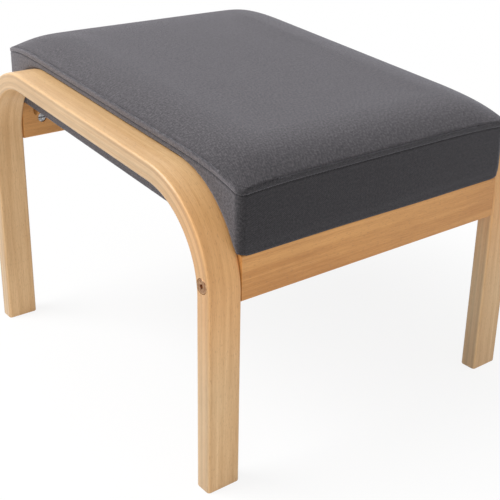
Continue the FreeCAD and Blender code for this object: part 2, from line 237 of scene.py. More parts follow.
class FootstoolColours(bpy.types.PropertyGroup):
    """The colours of the wood, the cloths, the metals and the stage."""

    wood_light: colour("Light wood", "Lightest tone of the beech faces", 233, 187, 133)
    wood_dark: colour("Dark wood", "Darkest tone of the beech faces", 202, 150, 94)
    wood_fleck: colour("Wood fleck", "The short dark flecks in beech", 150, 104, 66)
    edge_wood: colour("Edge wood", "The layers that show on the sides of the strips", 202, 165, 122)
    edge_dark: colour("Dark edge wood", "Darkest tone on the sides of the strips", 180, 139, 96)
    rail_light: colour("Light rail", "Lightest tone of the rails", 220, 162, 96)
    rail_dark: colour("Dark rail", "Darkest tone of the rails", 187, 126, 64)
    plywood_light: colour("Light plywood", "Light tone of the seat board", 214, 184, 142)
    plywood_dark: colour("Dark plywood", "Dark tone of the seat board", 176, 138, 98)
    cloth_light: colour("Light yarn", "Lightest yarn of the seat cloth", 104, 100, 103)
    cloth_dark: colour("Dark yarn", "Darkest yarn of the seat cloth", 66, 64, 67)
    thread: colour("Thread", "Sewing thread of the second row", 84, 82, 88)
    dust_cloth: colour("Dust cloth", "Cloth under the seat", 52, 52, 55)
    foam: colour("Foam", "Foam block", 226, 205, 150)
    wadding: colour("Wadding", "Wadding over the foam", 232, 232, 228)
    bronze: colour("Bronzed steel", "Heads of the frame bolts", 150, 108, 78)
    bronze_worn: colour("Worn bronze", "Where the bolt heads are rubbed", 196, 160, 124)
    zinc: colour("Zinc", "Nuts, screws and staples", 196, 198, 200)
    zinc_dull: colour("Dull zinc", "Tarnish on nuts, screws and staples", 142, 144, 148)
    floor: colour("Floor", "The plain floor", 243, 243, 243)


def sizes():
    return bpy.context.scene.footstool_sizes


def colours():
    return bpy.context.scene.footstool_colours


# Selecting and shaping


def deselect_all():
    if bpy.context.mode != "OBJECT":
        bpy.ops.object.mode_set(mode="OBJECT")
    bpy.ops.object.select_all(action="DESELECT")


def work_on(piece):
    deselect_all()
    piece.select_set(True)
    bpy.context.view_layer.objects.active = piece


def edit(piece, kind, test):
    """Opens edit mode with the vertices, edges or faces that pass the test selected."""
    work_on(piece)
    mesh = piece.data
    parts = {"vertices": mesh.vertices, "edges": mesh.edges, "polygons": mesh.polygons}
    for name, items in parts.items():
        flags = [name == kind and bool(test(item)) for item in items]
        items.foreach_set("select", flags)
    bpy.context.tool_settings.mesh_select_mode = tuple(name == kind for name in parts)
    bpy.ops.object.mode_set(mode="EDIT")


def edit_all(piece):
    edit(piece, "polygons", lambda face: True)


def end_edit():
    bpy.ops.object.mode_set(mode="OBJECT")


def settle(piece, name):
    """Names a new piece and moves its place, turn and scale into its mesh."""
    work_on(piece)
    bpy.ops.object.transform_apply(location=True, rotation=True, scale=True)
    piece.name = name
    piece.data.name = name
    return piece


def copy_of(piece, name):
    work_on(piece)
    bpy.ops.object.duplicate()
    copied = bpy.context.active_object
    copied.name = name
    copied.data.name = name
    return copied


def apply_modifier(piece, kind, **settings):
    work_on(piece)
    modifier = piece.modifiers.new(kind.title(), kind)
    for name, value in settings.items():
        setattr(modifier, name, value)
    bpy.ops.object.modifier_apply(modifier=modifier.name)


def points_of(piece, kind="co"):
    """The places of a piece's points as rows of numbers, or their normals if the kind says so."""
    values = np.zeros(len(piece.data.vertices) * 3)
    piece.data.vertices.foreach_get(kind, values)
    return values.reshape(-1, 3)


def move_points(piece, places):
    piece.data.vertices.foreach_set("co", np.asarray(places, float).ravel())
    piece.data.update()


def finish_piece(piece, material, replaced=()):
    """Gives a finished piece its material, hangs it from the body's empty, and hides the model parts
    that it replaces.
    """
    piece.data.materials.clear()
    piece.data.materials.append(material)
    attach(piece, BODY)
    if replaced:
        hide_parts(*replaced)


# The bent side frames


class Strip:
    """The bent strip's centre line in the YZ plane, and where its bends begin and end."""

    def __init__(self, size):
        self.size = size
        self.crest = math.pi / 2 + size.slope
        self.front_centre = Vector((0, size.frame_front + size.front_radius, size.front_leg_height))
        run = size.frame_back - size.back_radius - self.front_centre.y
        fall = size.front_radius - size.back_radius
        climb = (fall + run * math.sin(size.slope)) / math.cos(size.slope)
        back_height = size.front_leg_height + climb
        self.back_centre = Vector((0, size.frame_back - size.back_radius, back_height))
        self.top_length = (self.back_centre - self.front_centre).dot(self.along_top())
        self.front_turn = math.pi - self.crest
        self.back_turn = self.crest

    def along_top(self):
        return Vector((0, math.cos(self.size.slope), math.sin(self.size.slope)))

    def place(self, y, z):
        """Depth below the strip's outer face and distance along it from the front foot."""
        size = self.size
        top = self.along_top()
        from_front = Vector((0, y, z)) - self.front_centre
        from_back = Vector((0, y, z)) - self.back_centre
        middle_front = size.front_radius - size.strip_thickness / 2
        middle_back = size.back_radius - size.strip_thickness / 2
        bend_start = size.front_leg_height
        top_start = bend_start + middle_front * self.front_turn
        top_end = top_start + self.top_length
        if from_front.z <= 0 and from_front.y < 0:
            return y - size.frame_front, z
        if from_front.dot(top) < 0:
            turn = math.pi - math.atan2(from_front.z, from_front.y)
            return size.front_radius - from_front.length, bend_start + middle_front * turn
        if from_back.dot(top) < 0:
            upward = Vector((0, -top.z, top.y))
            return size.front_radius - from_front.dot(upward), top_start + from_front.dot(top)
        if from_back.z > 0:
            turn = self.crest - math.atan2(from_back.z, from_back.y)
            return size.back_radius - from_back.length, top_end + middle_back * turn
        back_end = top_end + middle_back * self.back_turn
        return size.frame_back - y, back_end - from_back.z


def extrude(step, count):
    for _ in range(count):
        bpy.ops.mesh.extrude_region_move(TRANSFORM_OT_translate={"value": step / count})


def bend(centre, turn, steps):
    bpy.ops.mesh.spin(steps=steps, angle=turn, center=centre, axis=(1, 0, 0))


def sweep_strip(strip, inner_x, outer_x):
    """Draws the strip's section at the front foot, then carries it up, over both bends and down."""
    size = strip.size
    middle = ((inner_x + outer_x) / 2, size.frame_front + size.strip_thickness / 2, 0)
    deselect_all()
    bpy.ops.mesh.primitive_plane_add(size=1, location=middle)
    piece = bpy.context.active_object
    piece.scale = (abs(outer_x - inner_x), size.strip_thickness, 1)
    settle(piece, "bent_strip")
    edit(piece, "vertices", lambda point: True)
    bpy.ops.mesh.bevel(offset=size.edge_radius, segments=4, affect="VERTICES")
    bpy.ops.mesh.select_mode(type="FACE")
    bpy.ops.mesh.select_all(action="SELECT")
    extrude(Vector((0, 0, size.front_leg_height)), 8)
    bend(strip.front_centre, strip.front_turn, 28)
    extrude(strip.along_top() * strip.top_length, 10)
    bend(strip.back_centre, strip.back_turn, 28)
    extrude(Vector((0, 0, -strip.back_centre.z)), 9)
    bpy.ops.mesh.select_all(action="SELECT")
    bpy.ops.mesh.remove_doubles(threshold=0.00001)
    bpy.ops.mesh.normals_make_consistent(inside=False)
    end_edit()
    return piece


def ease_feet(piece, chamfer):
    """Bevels the edges round both feet."""
    points = piece.data.vertices

    def on_floor(edge):
        return all(abs(points[index].co.z) < 0.0001 for index in edge.vertices)

    edit(piece, "edges", on_floor)
    bpy.ops.mesh.bevel(offset=chamfer, segments=2, affect="EDGES")
    end_edit()


def bore(piece, start, radius, depth, facets=40):
    """Cuts a round hole along X into the piece, from a start point towards the stool's middle."""
    inward = -math.copysign(1, start.x)
    deselect_all()
    bpy.ops.mesh.primitive_cylinder_add(
        vertices=facets, radius=radius, depth=depth,
        location=(start.x + inward * depth / 2, start.y, start.z), rotation=(0, math.pi / 2, 0))
    cutter = bpy.context.active_object
    apply_modifier(piece, "BOOLEAN", object=cutter, operation="DIFFERENCE", solver="EXACT")
    bpy.data.objects.remove(cutter)


def drill_frame(piece, side, side_name):
    """Sinks the bolt heads' recesses, and cuts the bolt bores and the dowel holes behind them."""
    for rail in RAILS:
        low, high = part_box(f"{rail}_{side_name}_frame_bolt")
        head_radius = (high.z - low.z) / 2
        outer_x = high.x if side > 0 else low.x
        centre = Vector((outer_x, (low.y + high.y) / 2, (low.z + high.z) / 2))
        start = centre + Vector((side * DRILL_START, 0, 0))
        bore(piece, start, head_radius + HEAD_ROOM, HEAD_DEPTH + DRILL_START, 56)
        bore(piece, start, BOLT_BORE_RADIUS, sizes().strip_width + 2 * DRILL_START)
        low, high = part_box(f"{rail}_{side_name}_dowels")
        radius = (high.y - low.y) / 2
        end_x = (high.x if side > 0 else low.x) + side * DOWEL_END_ROOM
        for z in (low.z + radius, high.z - radius):
            bore(piece, Vector((end_x, centre.y, z)), radius + DOWEL_ROOM, DOWEL_HOLE_DEPTH)


def note_places(piece, strip, outer_x):
    """Keeps each point's place in the unbent strip, which the grain and the layers follow."""
    attribute = piece.data.attributes.new("strip_place", "FLOAT_VECTOR", "POINT")
    places = []
    for point in piece.data.vertices:
        depth, along = strip.place(point.co.y, point.co.z)
        places.extend((abs(point.co.x - outer_x), depth, along))
    attribute.data.foreach_set("vector", places)


def smooth_faces(piece, degrees=32):
    work_on(piece)
    bpy.ops.object.shade_smooth_by_angle(angle=math.radians(degrees))
    apply_modifier(piece, "WEIGHTED_NORMAL", keep_sharp=True)


# The upholstered seat, shaped level and then leaned onto the rails


def seat_plane(y):
    """Height of the seat's underside over a place along Y."""
    size = sizes()
    behind = y - size.frame_front - size.seat_base_place
    return size.seat_base_height + behind * math.tan(size.slope)


def soft_rise(gap, width):
    """A share that rises from nothing at a gap of zero to one at the width, and levels out there."""
    return 1 - (1 - np.clip(gap / width, 0, 1)) ** 3


def edge_gaps(places):
    """How far points lie inside the sides, and inside the front or back."""
    half_width, front, back = seat_outline()
    from_side = half_width - np.abs(places[:, 0])
    from_end = np.minimum(places[:, 1] - front, back - places[:, 1])
    return from_side, from_end


def seam_bow(places):
    """How far the tight cover pulls the seam down at the corners and lets it bow up at the sides."""
    size = sizes()
    from_side, from_end = edge_gaps(places)
    inward = soft_rise(from_side, size.bow_width)
    front_end = -size.front_corner_dip * (1 - inward)
    back_end = -size.back_corner_dip + (size.back_corner_dip - size.back_dip) * inward
    at_end = np.where(places[:, 1] < 0, front_end, back_end)
    return at_end + (size.side_bow - at_end) * soft_rise(from_end, size.bow_width)


def over_frames(places):
    """How far the level seat's sides fill out where they stand clear of the bent strips."""
    size = sizes()
    strip = Strip(size)
    from_side, _ = edge_gaps(places)
    share = np.zeros(len(places))
    for index in np.flatnonzero(from_side < size.edge_width):
        _, y, z = places[index]
        depth, _ = strip.place(y, seat_plane(y) + z / math.cos(size.slope))
        share[index] = min(max(-depth / size.frame_clearance, 0), 1)
    _, _, back = seat_outline()
    share = np.sqrt(share * (2 - share)) * soft_rise(back - places[:, 1], size.bow_width)
    return size.over_frames * share * (1 - soft_rise(from_side, size.edge_width))


def lean(piece):
    """Bows a level seat piece, fills it out over the frames and tips it onto the sloping rails."""
    size = sizes()
    places = points_of(piece)
    above_board = (places[:, 2] - size.foam_bottom) / (size.seam_height - size.foam_bottom)
    places[:, 2] += seam_bow(places) * np.clip(above_board, 0, 1)
    places[:, 0] += np.sign(places[:, 0]) * over_frames(places)
    places[:, 2] = places[:, 2] / math.cos(size.slope) + seat_plane(places[:, 1])
    move_points(piece, places)


def seat_outline():
    """Half width, front and back of the seat cover, from the frame."""
    low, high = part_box("seat_cover_side_band")
    return high.x, low.y, high.y


def level_block():
    """The stuffed seat before it swells: a block with rounded corners and an eased top edge."""
    size = sizes()
    half_width, front, back = seat_outline()
    room = size.side_rise
    bottom = size.dust_thickness
    top = size.seam_height + TOP_ROOM
    deselect_all()
    bpy.ops.mesh.primitive_cube_add(size=1, location=(0, (front + back) / 2, (bottom + top) / 2))
    block = bpy.context.active_object
    block.scale = (2 * (half_width - room), back - front - 2 * room, top - bottom)
    settle(block, "seat_block")

    def heights(edge):
        return [block.data.vertices[index].co.z for index in edge.vertices]

    edit(block, "edges", lambda edge: min(heights(edge)) < top / 2 < max(heights(edge)))
    bpy.ops.mesh.bevel(offset=size.seat_corner, segments=6, affect="EDGES")
    end_edit()
    edit(block, "edges", lambda edge: min(heights(edge)) > top - 0.0001)
    bpy.ops.mesh.bevel(offset=TOP_ROOM / 2, segments=2, affect="EDGES")
    end_edit()
    return block


def swell(block):
    """Fills the seat with air as a stand-in for its stuffing, and limits how far each point moves."""
    size = sizes()
    start = points_of(block)
    held = block.vertex_groups.new(name="held")
    low_points = [int(index) for index in np.flatnonzero(start[:, 2] < size.foam_bottom)]
    held.add(low_points, 1.0, "REPLACE")
    work_on(block)
    cloth = block.modifiers.new("Stuffing", "CLOTH")
    for name, value in STUFFING.items():
        setattr(cloth.settings, name, value)
    cloth.settings.effector_weights.gravity = 0
    cloth.settings.vertex_group_mass = held.name
    for number in range(1, SWELL_FRAMES + 1):
        bpy.context.scene.frame_set(number)
    bpy.ops.object.modifier_apply(modifier=cloth.name)
    moved = points_of(block) - start
    on_crown = np.clip((start[:, 2] - size.seam_height) / TOP_ROOM, 0, 1)
    limit = (size.side_rise + (size.crown_rise - size.side_rise) * on_crown)[:, None]
    distance = np.linalg.norm(moved, axis=1)[:, None] + 1e-9
    move_points(block, start + moved / distance * limit * np.tanh(distance / limit))


def crown_height(places):
    """Height of the top above the seam: a soft edge and a low crown, both least in the corners."""
    size = sizes()
    from_side, from_end = edge_gaps(places)
    height = 0
    for rise, width in ((size.edge_rise, size.edge_width), (size.crown_rise, size.crown_width)):
        height = height + rise * soft_rise(from_side, width) * soft_rise(from_end, width)
    return height


def draw_tight(block):
    """Draws the cover over the seat's form: plumb sides, and a soft edge that runs into a crown."""
    size = sizes()
    places = points_of(block)
    depth, outward = from_outline(places, 0)
    on_top = places[:, 2] >= size.seam_height + SEAM_SLACK
    to_side = 0.9 * depth * (depth < WALL_DEPTH)
    from_seam = np.minimum(depth - TOP_GAP, 0)
    places[:, :2] += outward * np.where(on_top, from_seam, to_side)[:, None]
    height = np.maximum(crown_height(places), TOP_LIFT)
    swollen = places[:, 2] - size.seam_height - TOP_ROOM - height
    height += 0.2 * swollen * soft_rise(depth - size.edge_width, size.edge_width)
    places[:, 2] = np.where(on_top, size.seam_height + height, places[:, 2])
    move_points(block, places)


def stuffed_block():
    """The seat's outer shape while it is level."""
    block = level_block()
    apply_modifier(block, "REMESH", mode="VOXEL", voxel_size=sizes().seam_height / SEAM_VOXELS)
    swell(block)
    edit_all(block)
    bpy.ops.mesh.vertices_smooth(factor=0.5, repeat=2)
    end_edit()
    return block


def line_up_rows(block):
    """Levels the rows of points at and just below the seam, so that the seam can follow one."""
    seam = sizes().seam_height
    places = points_of(block)
    depth, _ = from_outline(places, 0)
    rows = np.round((places[:, 2] - seam) / (seam / SEAM_VOXELS))
    near = (depth < WALL_DEPTH) & (rows > -4) & (places[:, 2] < seam + TOP_ROOM / 4)
    places[near, 2] = seam + rows[near] * ROW_GAP
    move_points(block, places)


def on_sides(places):
    """Which points of the cover lie on its sides, up to the seam and with the seam's own row."""
    depth, _ = from_outline(places, 0)
    above = places[:, 2] - sizes().seam_height
    within = np.where(above > -SEAM_SLACK, TOP_GAP / 2, WALL_DEPTH)
    return (depth < within) & (above < SEAM_SLACK)


def from_outline(places, inset):
    """How far points lie inside the seat's rounded outline, and which way is outward there."""
    size = sizes()
    half_width, front, back = seat_outline()
    middle = np.array([0, (front + back) / 2])
    flat = np.array([half_width, (back - front) / 2]) - inset - size.seat_corner
    offset = places[:, :2] - middle
    beyond = np.abs(offset) - flat
    in_corner = np.maximum(beyond, 0)
    reach = np.linalg.norm(in_corner, axis=1)
    depth = size.seat_corner - reach - np.minimum(beyond.max(axis=1), 0)
    nearest = np.eye(2)[beyond.argmax(axis=1)]
    outward = np.where(reach[:, None] > 0, in_corner / (reach[:, None] + 1e-9), nearest)
    return depth, outward * np.sign(offset)


def press_to_board(block):
    """Sets the lowest part of the cover snugly round the seat board, with a small fold below."""
    size = sizes()
    places = points_of(block)
    depth, outward = from_outline(places, size.board_inset)
    fold = size.board_fold
    below = np.clip(fold + size.dust_thickness - places[:, 2], 0, fold)
    folded_in = fold - np.sqrt(fold ** 2 - below ** 2)
    share = np.clip((SNUG_TOP - places[:, 2]) / SNUG_FADE, 0, 1)
    share = share * share * (3 - 2 * share)
    on_wall = depth < WALL_DEPTH
    places[:, :2] += outward * ((depth - folded_in) * share * on_wall)[:, None]
    reach = np.where(on_wall, folded_in, depth)
    low = np.clip((LIP_TOP - places[:, 2]) / LIP_FADE, 0, 1)
    low *= np.clip((LIP_REACH - reach) / LIP_REACH_FADE, 0, 1)
    uneven = 0.8 + 0.2 * np.sin(places[:, 0] * 23)
    places[:, 2] -= size.rail_lip * uneven * low * outward[:, 1] ** 2
    move_points(block, places)


def refine(cover):
    """Halves the gaps between the points, and adds a row of them on the top close to the seam."""
    apply_modifier(cover, "SUBSURF", subdivision_type="SIMPLE", levels=1, render_levels=1)
    edit(cover, "polygons", lambda face: face.center.z > sizes().seam_height)
    bpy.ops.mesh.inset(thickness=TOP_GAP)
    end_edit()
    draw_tight(cover)


def score(cover, height):
    """Adds a row of points round the cover at a height."""
    edit_all(cover)
    bpy.ops.mesh.bisect(plane_co=(0, 0, height), plane_no=(0, 0, 1), threshold=0.00005)
    end_edit()


def sink_seams(cover):
    """Presses the seam and the row below it into the cover, and raises the allowance between them."""
    size = sizes()
    beside_row = (size.second_row - BESIDE_SEAM, size.second_row + BESIDE_SEAM)
    for below in (BESIDE_SEAM, *beside_row, *LOWER_ROWS):
        score(cover, size.seam_height - below)
    places = points_of(cover)
    heights, offsets = zip(*SEAM_PROFILE)
    above = places[:, 2] - size.seam_height
    push = np.interp(above, heights, offsets, left=0) * on_sides(places)
    places += points_of(cover, "normal") * push[:, None]
    move_points(cover, places)


def place_round(x, y, half_width, front, back, right, behind):
    """Distance round the seat from the middle of its back, for a point in the given quarter."""
    middle = (front + back) / 2
    side = back - middle
    if right and behind:
        return x + back - y
    if right:
        return half_width + side + middle - y + half_width - x
    if not behind:
        return 2 * half_width + 2 * side - x + y - front
    return 3 * half_width + 3 * side + y - middle + x + half_width


def lay_out_cloth(cover):
    """Gives the cover a UV map in metres: flat over the top, and round the seat by height below it."""
    size = sizes()
    half_width, front, back = seat_outline()
    middle = (front + back) / 2
    mesh = cover.data
    layer = mesh.uv_layers.new(name="cloth")
    spots = [0.0] * (2 * len(mesh.loops))
    for face in mesh.polygons:
        on_side = face.center.z < size.seam_height
        right, behind = face.center.x > 0, face.center.y > middle
        for loop in face.loop_indices:
            x, y, z = mesh.vertices[mesh.loops[loop].vertex_index].co
            if on_side:
                x, y = place_round(x, y, half_width, front, back, right, behind), z
            spots[2 * loop:2 * loop + 2] = x, y
    layer.uv.foreach_set("vector", spots)


def note_shade(cover):
    """Keeps painted light and shade on each point of the cover: painted shade on its front and back
    sides, a painted highlight on the ridge under the seam, and painted shade in the sunk rows."""
    places = points_of(cover)
    _, outward = from_outline(places, 0)
    above = places[:, 2] - sizes().seam_height
    sides = on_sides(places)
    # Painted shade: the front and back sides of the cover are darker than its left and right sides
    painted_end_shade = 1 - PAINTED_END_SHADE * outward[:, 1] ** 2 * sides
    heights, shades = zip(*PAINTED_SEAM_LIGHT)
    # Painted highlight on the ridge under the seam, and painted shade in the seam and the second row
    wear_and_painted_light = np.where(sides, np.interp(above, heights, shades), 1)
    attribute = cover.data.attributes.new("shade", "FLOAT", "POINT")
    attribute.data.foreach_set("value", painted_end_shade * wear_and_painted_light)


def split_cover(cover):
    """Parts the cover at the seam, and opens the middle of its underside inside the hem."""
    size = sizes()
    half_width, front, back = seat_outline()

    def inside_hem(face):
        if face.center.z > size.board_bottom:
            return False
        across = half_width - abs(face.center.x)
        along = min(face.center.y - front, back - face.center.y)
        return min(across, along) > size.hem_width

    edit(cover, "polygons", inside_hem)
    bpy.ops.mesh.delete(type="FACE")
    end_edit()
    edit(cover, "polygons", lambda face: face.center.z > size.seam_height)
    bpy.ops.mesh.separate(type="SELECTED")
    end_edit()
    top = next(piece for piece in bpy.context.selected_objects if piece != cover)
    cover.name = "seat_side_panel"
    top.name = "seat_top_panel"
    return top, cover


def thicken(piece, thickness):
    """Gives a sheet its thickness on its inner side."""
    edit_all(piece)
    bpy.ops.mesh.normals_make_consistent(inside=False)
    end_edit()
    apply_modifier(piece, "SOLIDIFY", thickness=thickness, offset=-1, use_rim=True)


def shade_smooth(piece):
    work_on(piece)
    bpy.ops.object.shade_smooth()


def inner_shape(block, name, shrink):
    """A copy of the stuffed seat above the board, drawn in on all sides by a distance."""
    piece = copy_of(block, name)
    edit_all(piece)
    bottom = sizes().foam_bottom
    bpy.ops.mesh.bisect(plane_co=(0, 0, bottom), plane_no=(0, 0, 1), clear_inner=True)
    end_edit()
    edit_all(piece)
    bpy.ops.transform.shrink_fatten(value=-shrink, use_even_offset=False)
    end_edit()
    places = points_of(piece)
    places[:, 2] = np.maximum(places[:, 2], bottom)
    move_points(piece, places)
    return piece


def close_bottom(piece):
    """Fills the open underside of a piece that was cut level, with a face that points down."""
    edit(piece, "edges", lambda edge: False)
    bpy.ops.mesh.select_non_manifold()
    bpy.ops.mesh.edge_face_add()
    end_edit()


def second_row_path(panel):
    """Points of the second row of stitching in order round the seat, with their normals."""
    size = sizes()
    height = size.seam_height - size.second_row
    places = points_of(panel)
    on_row = np.flatnonzero(on_sides(places) & (np.abs(places[:, 2] - height) < 0.0002))
    half_width, front, back = seat_outline()
    middle = (front + back) / 2

    def way_round(index):
        x, y, _ = places[index]
        return place_round(x, y, half_width, front, back, x > 0, y > middle)

    order = sorted(on_row, key=way_round)
    return places[order], points_of(panel, "normal")[order]


def one_stitch(size):
    """A short bar of thread that dips into the cloth at both ends."""
    deselect_all()
    bpy.ops.mesh.primitive_cylinder_add(
        vertices=6, radius=size.thread_width / 2, depth=size.stitch_length,
        rotation=(0, math.pi / 2, 0))
    stitch = settle(bpy.context.active_object, "one_stitch")
    edit_all(stitch)
    for share in (0, -0.3, 0.3):
        bpy.ops.mesh.bisect(plane_co=(share * size.stitch_length, 0, 0), plane_no=(1, 0, 0))
        bpy.ops.mesh.select_all(action="SELECT")
    end_edit()
    places = points_of(stitch)
    share = np.abs(places[:, 0]) / (size.stitch_length / 2)
    places[:, 1:] *= (1 - 0.55 * share ** 4)[:, None]
    places[:, 2] -= size.thread_width * 0.9 * share ** 2
    move_points(stitch, places)
    return stitch


def sew(name, stitch, path, outward, size):
    """Copies a stitch along a closed path, with its flat side against the cloth."""
    steps = np.linalg.norm(np.roll(path, -1, axis=0) - path, axis=1)
    way = np.concatenate([[0], np.cumsum(steps)])
    closed = np.vstack([path, path[:1]])
    facing = np.vstack([outward, outward[:1]])
    count = int(way[-1] // (size.stitch_length + size.stitch_gap))
    template = points_of(stitch)
    faces = [tuple(face.vertices) for face in stitch.data.polygons]

    def at(spot, source):
        spot = min(max(spot, 0), way[-1])
        return np.array([np.interp(spot, way, source[:, axis]) for axis in range(3)])

    points, polygons = [], []
    for number in range(count):
        here = way[-1] * (number + 0.5) / count
        along = Vector(at(here + 0.001, closed) - at(here - 0.001, closed)).normalized()
        up = Vector(at(here, facing))
        up = (up - along * up.dot(along)).normalized()
        across = up.cross(along)
        start = len(points)
        middle = Vector(at(here, closed)) + up * size.thread_width * 0.45
        for x, y, z in template:
            points.append(middle + along * x + across * y + up * z)
        polygons.extend(tuple(start + index for index in face) for face in faces)
    mesh = bpy.data.meshes.new(name)
    mesh.from_pydata(points, [], polygons)
    piece = bpy.data.objects.new(name, mesh)
    bpy.context.scene.collection.objects.link(piece)
    bpy.data.objects.remove(stitch)
    return piece


def dust_sheet():
    """The cloth under the seat: stapled along its edges and hanging a little in its middle."""
    size = sizes()
    low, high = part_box("seat_dust_cover")
    half_width, front, back = high.x, low.y, high.y
    deselect_all()
    bpy.ops.mesh.primitive_grid_add(
        x_subdivisions=100, y_subdivisions=130, size=1, location=(0, (front + back) / 2, 0))
    sheet = bpy.context.active_object
    sheet.scale = (2 * half_width, back - front, 1)
    settle(sheet, "underside_cloth")
    places = points_of(sheet)
    x, y = places[:, 0], places[:, 1]
    from_side = half_width - np.abs(x)
    from_end = np.minimum(y - front, back - y)
    slack = np.clip((from_side - DUST_EDGE) / DUST_SLACK_ACROSS, 0, 1)
    slack *= np.clip((from_end - DUST_EDGE) / DUST_SLACK_ALONG, 0, 1)
    hang = size.dust_sag * np.sin(slack * math.pi / 2) ** 1.5
    folds = DUST_FOLD * np.sin(x * 61 + 9 * np.sin(y * 13)) * np.sin(y * 37 + 5 * np.sin(x * 17))
    edge = np.clip(np.minimum(from_side, from_end) / 0.02, 0, 1)
    places[:, 2] = size.dust_thickness - hang + folds * edge * np.minimum(1, 0.2 + slack * 2)
    round_corners(places, half_width, front, back, size.seat_corner)
    move_points(sheet, places)
    return sheet


def round_corners(places, half_width, front, back, radius):
    """Pulls the points in the corners of a rectangle onto a rounded outline."""
    for side in (-1, 1):
        for end, away in ((front, 1), (back, -1)):
            centre = np.array([side * (half_width - radius), end + away * radius])
            offset = places[:, :2] - centre
            inside = (offset[:, 0] * side > 0) & (offset[:, 1] * away < 0)
            square = np.maximum(np.abs(offset[:, 0]), np.abs(offset[:, 1]))
            reach = np.linalg.norm(offset, axis=1) + 1e-9
            places[inside, :2] = centre + (offset * (square / reach)[:, None])[inside]


# Node trees


class Graph:
    """Adds nodes to a node tree and joins their sockets."""

    def __init__(self, tree):
        self.tree = tree

    def feed(self, socket, value):
        if isinstance(value, bpy.types.NodeSocket):
            self.tree.links.new(value, socket)
        else:
            socket.default_value = value

    def node(self, kind, **settings):
        made = self.tree.nodes.new(kind)
        for name, value in settings.items():
            setattr(made, name, value)
        return made

    def math(self, operation, *values):
        made = self.node("ShaderNodeMath", operation=operation)
        for socket, value in zip(made.inputs, values):
            self.feed(socket, value)
        return made.outputs[0]

    def times(self, first, second):
        return self.math("MULTIPLY", first, second)

    def plus(self, first, second):
        return self.math("ADD", first, second)

    def minus(self, first, second):
        return self.math("SUBTRACT", first, second)

    def mix(self, share, first, second, blend="MIX"):
        made = self.node("ShaderNodeMix", data_type="RGBA", blend_type=blend)
        for index, value in ((0, share), (6, first), (7, second)):
            self.feed(made.inputs[index], value)
        return made.outputs[2]

    def seen(self):
        """One where the camera sees a surface or its reflection, and zero elsewhere."""
        ray = self.node("ShaderNodeLightPath").outputs
        return self.math("MAXIMUM", ray["Is Camera Ray"], ray["Is Glossy Ray"])

    def toned(self, colour, tone):
        """The colour made lighter or darker by a tone of about one."""
        return self.mix(1.0, colour, self.joined(tone, tone, tone), "MULTIPLY")

    def fill(self, made, **values):
        """Feeds a node's inputs by their names, and gives its first output."""
        for name, value in values.items():
            self.feed(made.inputs[name.replace("_", " ").title()], value)
        return made.outputs[0]

    def stretch(self, vector, x, y, z):
        made = self.node("ShaderNodeVectorMath", operation="MULTIPLY")
        self.feed(made.inputs[0], vector)
        self.feed(made.inputs[1], (x, y, z))
        return made.outputs[0]

    def noise(self, vector, detail=2.0, roughness=0.5, distortion=0.0):
        made = self.node("ShaderNodeTexNoise")
        return self.fill(
            made, vector=vector, scale=1.0, detail=detail, roughness=roughness, distortion=distortion)

    def band(self, value, low, high, bottom=0.0, top=1.0):
        """Maps low to bottom and high to top with soft ends."""
        made = self.node("ShaderNodeMapRange", interpolation_type="SMOOTHSTEP")
        return self.fill(made, value=value, from_min=low, from_max=high, to_min=bottom, to_max=top)

    def uneven_tone(self, place, patch_size, amount):
        group = made_once("Uneven tone", build_tone_group)
        return self.group(group, place=place, patch_size=patch_size, amount=amount)["Tone"]

    def beech(self, place, light, dark, fleck_amount):
        group = made_once("Beech grain", build_beech_group)
        return self.group(
            group, place=place, light=light, dark=dark, fleck=colours().wood_fleck,
            fleck_amount=fleck_amount)

    def parts(self, vector):
        made = self.node("ShaderNodeSeparateXYZ")
        self.feed(made.inputs[0], vector)
        return made.outputs

    def joined(self, x, y, z=0.0):
        made = self.node("ShaderNodeCombineXYZ")
        for socket, value in zip(made.inputs, (x, y, z)):
            self.feed(socket, value)
        return made.outputs[0]

    def group(self, tree, **values):
        made = self.node("ShaderNodeGroup", node_tree=tree)
        for name, value in values.items():
            self.feed(made.inputs[name.replace("_", " ").capitalize()], value)
        return made.outputs


# What a shader group for a surface puts out
FINISH = {"Colour": "Color", "Roughness": "Float", "Height": "Float"}


def new_group(name, inputs, outputs=FINISH):
    """A shader group with named sockets. Gives its graph, what it is given and what it puts out."""
    tree = bpy.data.node_groups.new(name, "ShaderNodeTree")
    for way, sockets in (("INPUT", inputs), ("OUTPUT", outputs)):
        for label, kind in sockets.items():
            tree.interface.new_socket(label, in_out=way, socket_type=f"NodeSocket{kind}")
    graph = Graph(tree)
    given = graph.node("NodeGroupInput").outputs
    result = graph.node("NodeGroupOutput").inputs
    return graph, given, result


def made_once(name, build):
    return bpy.data.node_groups.get(name) or build(name)


def build_tone_group(name):
    """Broad uneven tone, as wood and cloth both have: a value near one."""
    graph, given, result = new_group(
        name, {"Place": "Vector", "Patch size": "Float", "Amount": "Float"}, {"Tone": "Float"})
    patches = graph.node("ShaderNodeVectorMath", operation="SCALE")
    graph.feed(patches.inputs[0], given["Place"])
    graph.feed(patches.inputs["Scale"], graph.math("DIVIDE", 1.0, given["Patch size"]))
    cloud = graph.noise(patches.outputs[0], detail=3.0, roughness=0.55)
    swing = graph.times(graph.minus(cloud, 0.5), given["Amount"])
    graph.feed(result["Tone"], graph.plus(swing, 1.0))
    return graph.tree


